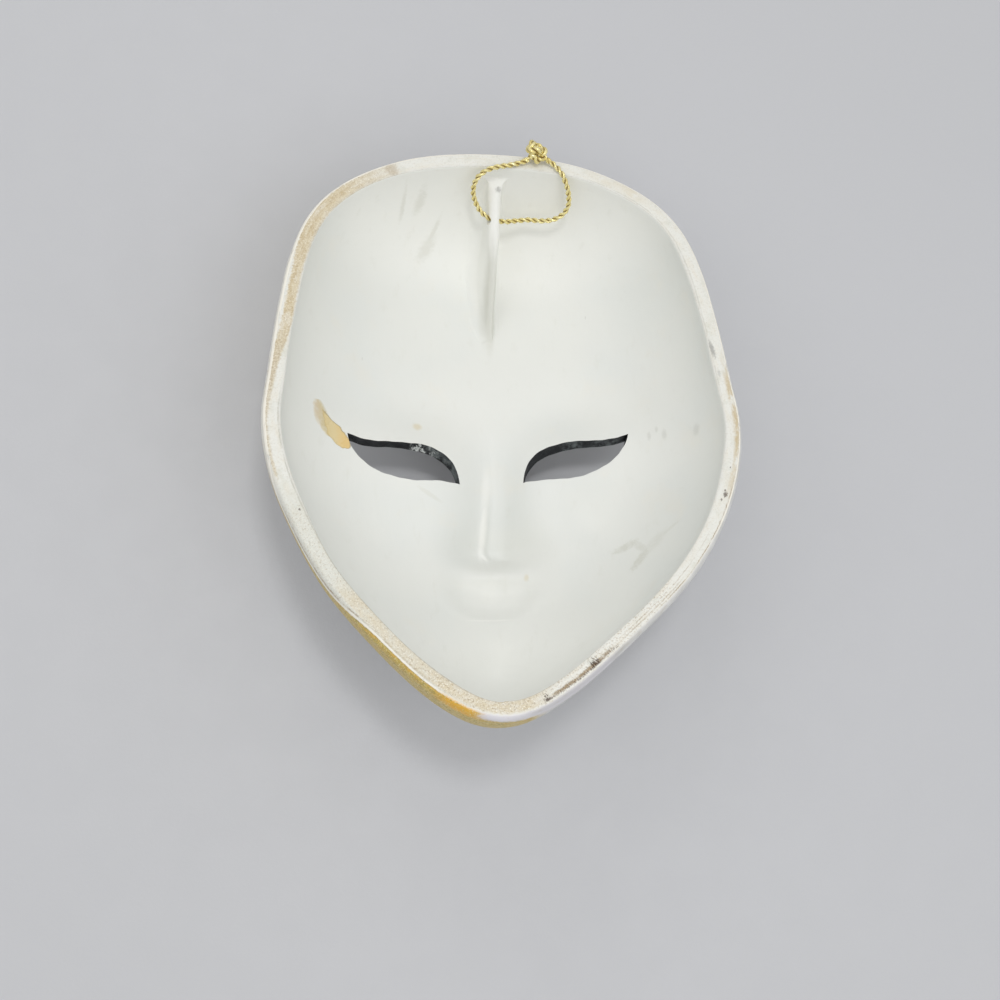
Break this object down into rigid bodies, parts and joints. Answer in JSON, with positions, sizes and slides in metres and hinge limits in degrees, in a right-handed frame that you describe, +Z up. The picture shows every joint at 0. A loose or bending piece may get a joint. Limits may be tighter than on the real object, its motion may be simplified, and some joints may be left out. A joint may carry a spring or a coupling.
{
  "type": "wall mask",
  "caption": "Small hollow ceramic carnival mask with slanting almond eye holes, a pierced hanging fin inside the forehead and a loop of twisted gold cord.",
  "frame": {"origin": "middle of the bottom of the ceramic's bounding box, on the surface that the mask lies on, face down", "axes": "+Z up out of the hollow, +Y towards the forehead and the hanging loop, +X to the right as the hollow is looked into"},
  "size_m": [0.1028, 0.1328, 0.053],
  "materials": {
    "ceramic": "satin white fired clay, with a worn gold and silver-white painted border",
    "gold_cord": "twisted metallic gold thread"
  },
  "bodies": {
    "root": {"mask_shell": "ceramic", "hanging_cord": "gold_cord", "cord_knot": "gold_cord"}
  },
  "joints": []
}
